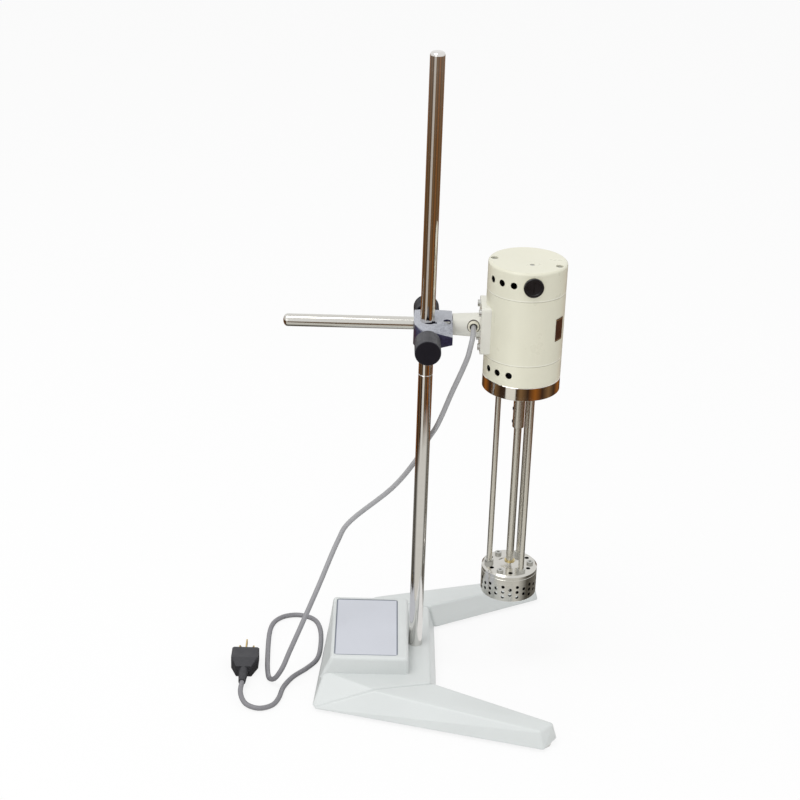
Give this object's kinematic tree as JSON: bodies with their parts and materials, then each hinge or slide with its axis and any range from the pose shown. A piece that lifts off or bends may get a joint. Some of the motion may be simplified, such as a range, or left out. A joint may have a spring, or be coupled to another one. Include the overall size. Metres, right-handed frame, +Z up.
{
  "type": "rotor stator homogenizer",
  "caption": "Bench homogenizer: a motor head with a perforated stator on three rods, clamped by a cross rod and boss head to a post on a two-legged cast base.",
  "frame": {"origin": "on the table under the stand, at the middle of the object's width and depth without its cord; the post stands on this point", "axes": "+Z up the post; +X from the post to the motor head; +Y to the back"},
  "size_m": [0.3744, 0.3474, 0.74],
  "materials": {
    "base_paint": "semi-matt stove enamel over a cast surface",
    "plate_face": "bare satin panel plate",
    "foot_rubber": "pale moulded rubber",
    "zinc_steel": "zinc plated fasteners",
    "post_chrome": "chrome plated steel bar",
    "boss_paint": "blue grey hammered paint",
    "pad_brass": "turned",
    "knob_black": "moulded, faintly speckled",
    "arm_paint": "cream enamel",
    "motor_paint": "cream enamel",
    "bright_steel": "turned bright",
    "gland_plastic": "moulded ring",
    "grommet_rubber": "black",
    "brush_plastic": "black phenolic",
    "carbon": null,
    "lamination": "stacked electrical steel",
    "copper": null,
    "plate_brown": "bare dark plate",
    "fan_plastic": "moulded",
    "screw_steel": "blackened grub screws",
    "brass_parts": "turned",
    "cord_pvc": "extruded flexible sheath",
    "plug_black": "moulded"
  },
  "bodies": {
    "base": {"base": "base_paint", "panel_plate": "plate_face", "rubber_feet": "foot_rubber", "foot_screws": "zinc_steel"},
    "post": {"post_lower": "post_chrome", "post_upper": "post_chrome", "post_washer": "zinc_steel", "post_nut": "zinc_steel", "cord": "cord_pvc", "plug_body": "plug_black", "plug_pins": "pad_brass", "plug_relief": "plug_black"},
    "clamp": {"boss_head": "boss_paint", "boss_screw": "zinc_steel"},
    "post_pad": {"post_pad": "pad_brass"},
    "post_screw": {"post_stud": "zinc_steel", "post_knob": "knob_black"},
    "rod_pad": {"rod_pad": "pad_brass"},
    "rod_screw": {"rod_stud": "zinc_steel", "rod_knob": "knob_black"},
    "rod": {"cross_rod": "bright_steel"},
    "head": {"motor_bracket": "arm_paint", "bracket_grub_screw": "screw_steel", "bracket_screws": "zinc_steel", "gland_ring": "gland_plastic", "gland_grommet": "grommet_rubber", "motor_cap": "motor_paint", "roof_screw": "zinc_steel", "cap_bolts": "zinc_steel", "motor_housing": "motor_paint", "motor_bell": "motor_paint", "motor_flange": "bright_steel", "flange_screws": "screw_steel", "upper_bearing": "bright_steel", "lower_bearing": "bright_steel", "field_core": "lamination", "field_coils": "copper", "brush_caps": "brush_plastic", "brush_holders": "brass_parts", "brushes": "carbon", "brush_springs": "bright_steel", "rating_plate": "plate_brown", "support_rods": "bright_steel", "rod_nuts": "zinc_steel", "stator_cap": "bright_steel", "shaft_bush": "brass_parts", "stator_screws": "zinc_steel", "stator": "bright_steel"},
    "rotor": {"motor_shaft": "bright_steel", "armature_core": "lamination", "armature_coils": "copper", "commutator": "copper", "cooling_fan": "fan_plastic", "shaft_coupling": "bright_steel", "coupling_screws": "screw_steel", "drive_shaft": "bright_steel", "rotor": "bright_steel", "rotor_nut": "zinc_steel"}
  },
  "joints": [
    {"name": "stand_swivel", "type": "hinge", "parent": "base", "child": "post", "pos_m": [0, 0, 0], "axis": [0, 0, 1], "range_deg": [-60, 60]},
    {"name": "height_slide", "type": "slide", "parent": "post", "child": "clamp", "axis": [0, 0, 1], "range_m": [-0.05, 0.25], "deforming": ["cord"]},
    {"name": "post_knob_turn", "type": "hinge", "parent": "post_pad", "child": "post_screw", "pos_m": [0, 0, 0.428], "axis": [0, -1, 0], "range_deg": [0, 720]},
    {"name": "post_pad_slide", "type": "slide", "parent": "clamp", "child": "post_pad", "axis": [0, -1, 0], "range_m": [0, 0.00249]},
    {"name": "rod_knob_turn", "type": "hinge", "parent": "rod_pad", "child": "rod_screw", "pos_m": [0, 0.018, 0.4315], "axis": [0, 1, 0], "range_deg": [0, 720]},
    {"name": "rod_pad_slide", "type": "slide", "parent": "clamp", "child": "rod_pad", "axis": [0, 1, 0], "range_m": [0, 0.00249]},
    {"name": "rod_slide", "type": "slide", "parent": "clamp", "child": "rod", "axis": [1, 0, 0], "range_m": [0, 0.12]},
    {"name": "head_tilt", "type": "hinge", "parent": "rod", "child": "head", "pos_m": [0, 0.018, 0.4315], "axis": [1, 0, 0], "range_deg": [-45, 45]},
    {"name": "rotor_spin", "type": "hinge", "parent": "head", "child": "rotor", "pos_m": [0.1076, 0.018, 0.3], "axis": [0, 0, 1], "continuous": true}
  ],
  "couplings": [
    {"joint": "post_knob_turn", "follows": "post_pad_slide", "rad_per_m": 5026.5},
    {"joint": "rod_knob_turn", "follows": "rod_pad_slide", "rad_per_m": 5026.5}
  ]
}
